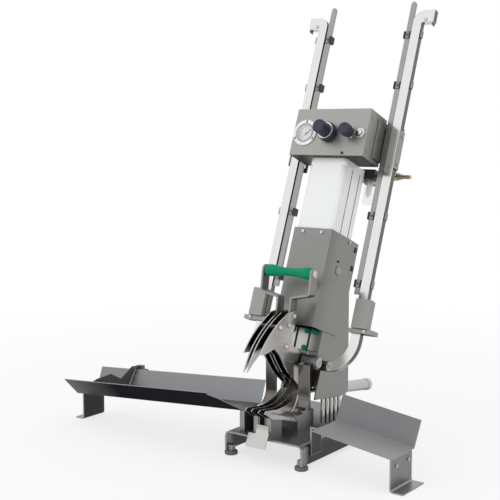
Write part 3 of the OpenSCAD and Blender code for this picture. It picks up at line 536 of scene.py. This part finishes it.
# Push button: a domed cap; hexagon nuts round the button and the valve
BUTTON_R = 6
button = bmesh.new()
lathe(button, along(BUTTON, OUT),
      [(BUTTON_R, -10), (BUTTON_R, 7.2), (BUTTON_R - 0.5, 8.0), (BUTTON_R - 2, 8.4), (1, 8.5)], 64)
piece("push_button_cap", button, "button", "polished_steel", replaced=["push_button"])
nuts = bmesh.new()
for place, radius in ((BUTTON, 13), (VALVE, 14.5)):
    lathe(nuts, along(place, OUT),
          [(radius, 0.05), (radius, 2.4), (radius - 1.2, 3.2), (radius - 2, 3.2)], 6)
piece("panel_nuts", nuts, "frame", "polished_steel", edge=0.3)

# Gauge: a dark inner ring, the dial's marks and numbers, and the flange's screws
FLANGE_T, FLANGE_RING = 3, 28
DIAL_R = 20.2
RIM_IN, RIM_OUT, RIM_TOP = DIAL_R + 0.3, DIAL_R + 3.2, FLANGE_T + 1.4
gauge = along(GAUGE, OUT)
rim = bmesh.new()
lathe(rim, gauge, [(RIM_IN, FLANGE_T), (RIM_OUT, FLANGE_T), (RIM_OUT, RIM_TOP - 0.5),
                   (RIM_OUT - 0.6, RIM_TOP), (RIM_IN + 0.5, RIM_TOP), (RIM_IN, RIM_TOP - 0.5),
                   (RIM_IN, FLANGE_T)], 96)
piece("gauge_rim", rim, "frame", "satin_bar")

MARK_LOW, MARK_HIGH = -4.98, -4.9
MARK_MID = (MARK_LOW + MARK_HIGH) / 2
START, SWEEP = math.radians(225), math.radians(270)
HIGHEST, STEPS, STEPS_PER_LONG = 10, 50, 5
marks = bmesh.new()
for i in range(STEPS + 1):
    spoke = gauge @ Matrix.Rotation(START - SWEEP * i / STEPS, 4, "Z")
    half, inner = (0.10, DIAL_R - 2.8) if i % STEPS_PER_LONG else (0.22, DIAL_R - 4.4)
    block(marks, spoke, (inner, -half, MARK_LOW), (DIAL_R - 1.4, half, MARK_HIGH))
for value in range(0, HIGHEST + 1, 2):
    angle = START - SWEEP * value / HIGHEST
    digits = bpy.data.curves.new("number", "FONT")
    digits.body = str(value)
    digits.size = 4.0
    digits.align_x = "CENTER"
    digits.align_y = "CENTER"
    digits.extrude = (MARK_HIGH - MARK_LOW) / 2
    holder = bpy.data.objects.new("number", digits)
    bpy.context.scene.collection.objects.link(holder)
    spot = Vector((math.cos(angle), math.sin(angle), 0)) * (DIAL_R - 8) + Vector((0, 0, MARK_MID))
    shape = bpy.data.meshes.new_from_object(holder.evaluated_get(bpy.context.evaluated_depsgraph_get()))
    shape.transform(gauge @ Matrix.Translation(spot))
    marks.from_mesh(shape)
    bpy.data.objects.remove(holder)
piece("dial_marks", marks, "frame", "black_plastic")

flange_screws = bmesh.new()
for turn in (90, 210, 330):
    spoke = gauge @ Matrix.Rotation(math.radians(turn), 4, "Z")
    lathe(flange_screws, spoke @ Matrix.Translation((FLANGE_RING, 0, FLANGE_T)),
          [(2.6, SEAT), (2.6, 1.6), (2.0, 2.3), (0.5, 2.5)], 24)
piece("flange_screws", flange_screws, "frame", "black_plastic")

# Lever: domed heads on the gathering plates' bolts, placed back and up from the pivot, and grip ends
PLATE_FACE = limits("gathering_plates", RIGHT)[1]
BOLTS = ((-35, 107), (-55, 89), (-89, 89), (-67, 43))
DOME = [(6.6, SEAT), (6.6, 0.9), (6.2, 1.2), (5.8, 1.2), (5.8, 2.6), (5.2, 3.6), (3.8, 4.4),
        (2.0, 4.8), (0.6, 4.9)]
pivot = Vector(joints["lever_swing"]["pos_m"])
domes = bmesh.new()
for back, up in BOLTS:
    for sign in (-1, 1):
        seat = pivot + MM * Vector((sign * PLATE_FACE, back, up))
        lathe(domes, along(seat, RIGHT * sign, TOP), DOME, 32)
piece("bolt_domes", domes, "lever", "polished_steel")

FORK_FACE = limits("lever_fork", RIGHT)[1]
grip = Vector(joints["grip_spin"]["pos_m"])
ends = bmesh.new()
for sign in (-1, 1):
    seat = grip + MM * sign * FORK_FACE * RIGHT
    lathe(ends, along(seat, RIGHT * sign, TOP),
          [(9.6, SEAT), (9.6, 1.0), (8.2, 1.4), (8.2, 3.0), (7.0, 4.0), (4.0, 4.7), (1.0, 4.9)], 40)
piece("grip_end_caps", ends, "lever", "polished_steel")

# Cover: side plugs, pins beside them and rubber grommets along the back edge, placed back and up
COVER_HALF = limits("front_cover", RIGHT)[1]
FRAME_HALF = limits("side_plates", RIGHT)[1]
PLUG = (62, 145)
PIN = (53, 165)
GROMMETS = ((123, 211), (123, 166))
plugs = bmesh.new()
grommets = bmesh.new()
for sign in (-1, 1):
    lathe(plugs, along(column(sign * COVER_HALF, *PLUG), RIGHT * sign, UPWARD),
          [(12, SEAT), (12, 1.1), (11.4, 1.5), (10.2, 1.5), (9.8, 0.9), (9.2, 0.9), (8.8, 1.5), (1, 1.6)], 56)
    lathe(grommets, along(column(sign * COVER_HALF, *PIN), RIGHT * sign, UPWARD),
          [(2.5, SEAT), (2.5, 2.0), (1.8, 2.8), (0.5, 3.0)], 24)
    for place in GROMMETS:
        seat = along(column(sign * FRAME_HALF, *place), RIGHT * sign, UPWARD)
        block(grommets, seat, (-6, -5, SEAT), (6, 5, 2))
piece("cover_plug_discs", plugs, "frame", "grey_sheet", replaced=["cover_plugs"])
piece("cover_grommets", grommets, "frame", "black_plastic", edge=0.6)

STOPPER_X, STOPPER_UP = 45, 406
stopper = bmesh.new()
lathe(stopper, along(column(STOPPER_X, BOX_FACE, STOPPER_UP), OUT),
      [(3.0, SEAT), (3.0, 2.4), (2.2, 3.0), (0.6, 3.2)], 24)
piece("box_stopper", stopper, "frame", "black_plastic")

# Grease caps on the punch guide, placed across and up
GUIDE_FACE = limits("punch_covers", INWARD)[0]
GREASE_CAPS = ((8, -4), (30, -5), (9, -43), (-30, -5))
caps = bmesh.new()
for x, up in GREASE_CAPS:
    lathe(caps, along(column(x, GUIDE_FACE, up), OUT),
          [(6, SEAT), (6, 3), (5, 4.4), (3, 5), (0.6, 5.2)], 32)
piece("grease_cap_domes", caps, "frame", "green_plastic", replaced=["grease_caps"])

# Strips in the barrel's side slots
BARREL_HALF = limits("cylinder_barrel", RIGHT)[1]
BARREL_LOW, BARREL_HIGH = limits("cylinder_barrel", UPWARD)
SLOTS_BACK, STRIP_HALF = (41.5, 76.5), 1.9
STRIP_IN, STRIP_OUT = BARREL_HALF - 2.45, BARREL_HALF - 1.2
strips = bmesh.new()
upright = along(column(0, 0, 0), UPWARD)
for sign in (-1, 1):
    near, far = sorted((sign * STRIP_IN, sign * STRIP_OUT))
    for back in SLOTS_BACK:
        block(strips, upright, (near, back - STRIP_HALF, BARREL_LOW + 1),
              (far, back + STRIP_HALF, BARREL_HIGH - 1))
piece("barrel_slot_strips", strips, "frame", "dark_steel", edge=0.2)

# Rail clamps: a socket screw in each steel clip
CLAMPS_UP = (731, 603, 281, 120)
BAR_HALF = 6.5
BAR_MID = limits("guide_bars", RIGHT)[1] - BAR_HALF
CLIP_FACE = limits("rail_clips", INWARD)[0]
screws = bmesh.new()
for up in CLAMPS_UP:
    for sign in (-1, 1):
        lathe(screws, along(column(sign * BAR_MID, CLIP_FACE, up), OUT),
              [(2.8, SEAT), (2.8, 1.8), (2.4, 2.2), (1.4, 2.2), (1.4, 1.0), (0.2, 1.0)], 24)
piece("clamp_screws", screws, "frame", "dark_steel")

# Air filter: a brass ring round the bowl and the element inside it; barbs on the hose stem
COLLAR_IN, COLLAR_OUT = 14.3, 15.6
HOSE_R, HOSE_LEN = 4.6, 24
BOWL_TOP = column(middle("filter_bowl", RIGHT), middle("filter_bowl", INWARD),
                  limits("filter_bowl", UPWARD)[1])
HOSE_STEM = column(limits("air_inlet", RIGHT)[1] - HOSE_LEN, middle("air_inlet", INWARD),
                   middle("air_inlet", UPWARD))
under = along(BOWL_TOP, -UPWARD)
collar = bmesh.new()
lathe(collar, under, [(COLLAR_IN, 3.0), (COLLAR_OUT, 3.0), (COLLAR_OUT, 8.0), (COLLAR_IN, 8.0),
                      (COLLAR_IN, 3.0)], 72)
piece("filter_ring", collar, "frame", "nickel_brass")
element = bmesh.new()
lathe(element, under, [(6.5, 0.2), (6.5, 34), (4, 35), (4, 40), (1, 41)], 48,
      ribs=24, depth=0.5, ribbed=(0.1, 34.5))
piece("filter_element", element, "frame", "white_enamel")
barb_profile = [(HOSE_R, 2)]
for start in (3, 9, 15):
    barb_profile += [(HOSE_R, start), (HOSE_R + 0.8, start + 0.4), (HOSE_R, start + 5.6)]
barb_profile.append((HOSE_R, HOSE_LEN - 2))
barbs = bmesh.new()
lathe(barbs, along(HOSE_STEM, RIGHT, UPWARD), barb_profile, 40)
piece("inlet_barbs", barbs, "frame", "nickel_brass")


# Floor, light and camera

WHITE = (1, 1, 1, 1)
PALE = (0.86, 0.86, 0.86, 1)
ROOM_STRENGTH = 0.95
# How white the floor is near the object, and the radii in metres between which it turns fully white
NEAR_WHITE = 0.72
FADE_START, FADE_END = 0.66, 2.2


def seen_directly(tree):
    """1 for rays from the camera, from a reflection or through clear plastic, and 0 for soft light."""
    path = add(tree, "LightPath")
    mirrored = combined(tree, "MAXIMUM", path.outputs["Is Glossy Ray"], path.outputs["Is Transmission Ray"])
    return combined(tree, "MAXIMUM", path.outputs["Is Camera Ray"], mirrored)


def finished(tree, kind, factor, under, top):
    """Ends a tree with one shader covered by another as far as a factor says."""
    mix = add(tree, "MixShader")
    tree.links.new(factor, mix.inputs["Fac"])
    tree.links.new(under.outputs[0], mix.inputs[1])
    tree.links.new(top.outputs[0], mix.inputs[2])
    tree.links.new(mix.outputs[0], add(tree, "Output" + kind).inputs["Surface"])


def floor_material():
    """A pale floor that shows shadows near the object and fades to white further off."""
    material = bpy.data.materials.new("floor")
    material.use_nodes = True
    tree = material.node_tree
    tree.nodes.clear()
    matt = add(tree, "BsdfDiffuse", Color=PALE)
    white = add(tree, "Emission", Color=WHITE, Strength=1.0)
    far = add(tree, "VectorMath")
    far.operation = "LENGTH"
    tree.links.new(add(tree, "TexCoord").outputs["Object"], far.inputs[0])
    fade = ranged(tree, far.outputs["Value"], FADE_START, FADE_END, NEAR_WHITE, 1, smooth=True)
    finished(tree, "Material", combined(tree, "MULTIPLY", fade, seen_directly(tree)), matt, white)
    return material


def studio():
    """A white room whose soft light has its own strength."""
    world = bpy.data.worlds.new("studio")
    world.use_nodes = True
    tree = world.node_tree
    tree.nodes.clear()
    room = add(tree, "Background", Color=WHITE, Strength=ROOM_STRENGTH)
    white = add(tree, "Background", Color=WHITE, Strength=1.0)
    finished(tree, "World", seen_directly(tree), room, white)
    return world


def lamp(name, place, aim, size, watts):
    """A soft square lamp at a place, turned to a point."""
    data = bpy.data.lights.new(name, "AREA")
    data.size = size
    data.energy = watts
    holder = bpy.data.objects.new(name, data)
    holder.location = place
    holder.rotation_euler = (Vector(aim) - Vector(place)).to_track_quat("-Z", "Y").to_euler()
    bpy.context.scene.collection.objects.link(holder)


FLOOR_HALF = 30
floor_mesh = bpy.data.meshes.new("floor")
floor_mesh.from_pydata([(-FLOOR_HALF, -FLOOR_HALF, 0), (FLOOR_HALF, -FLOOR_HALF, 0),
                        (FLOOR_HALF, FLOOR_HALF, 0), (-FLOOR_HALF, FLOOR_HALF, 0)], [], [(0, 1, 2, 3)])
floor_mesh.materials.append(floor_material())
floor = bpy.data.objects.new("floor", floor_mesh)
bpy.context.scene.collection.objects.link(floor)

LIT_POINT = (0.0, 0.0, 0.45)
bpy.context.scene.world = studio()
lamp("key", (-1.6, -2.4, 2.6), LIT_POINT, size=3.0, watts=9)
lamp("fill", (2.6, -0.6, 1.2), LIT_POINT, size=2.0, watts=2)

# The camera fitted to the photograph: where it stands, its turn and tilt in degrees, and its lens
CAMERA_PLACE = (1.40237, -1.98706, 0.7257)
CAMERA_TURN, CAMERA_TILT = 36.37, 6.57
SENSOR, LENS = 36, 73.83
camera_data = bpy.data.cameras.new("camera")
camera_data.sensor_width = SENSOR
camera_data.lens = LENS
camera = bpy.data.objects.new("camera", camera_data)
camera.location = CAMERA_PLACE
camera.rotation_euler = (math.radians(90 - CAMERA_TILT), 0, math.radians(CAMERA_TURN))
bpy.context.scene.collection.objects.link(camera)
bpy.context.scene.camera = camera
bpy.context.scene.view_settings.view_transform = "Standard"
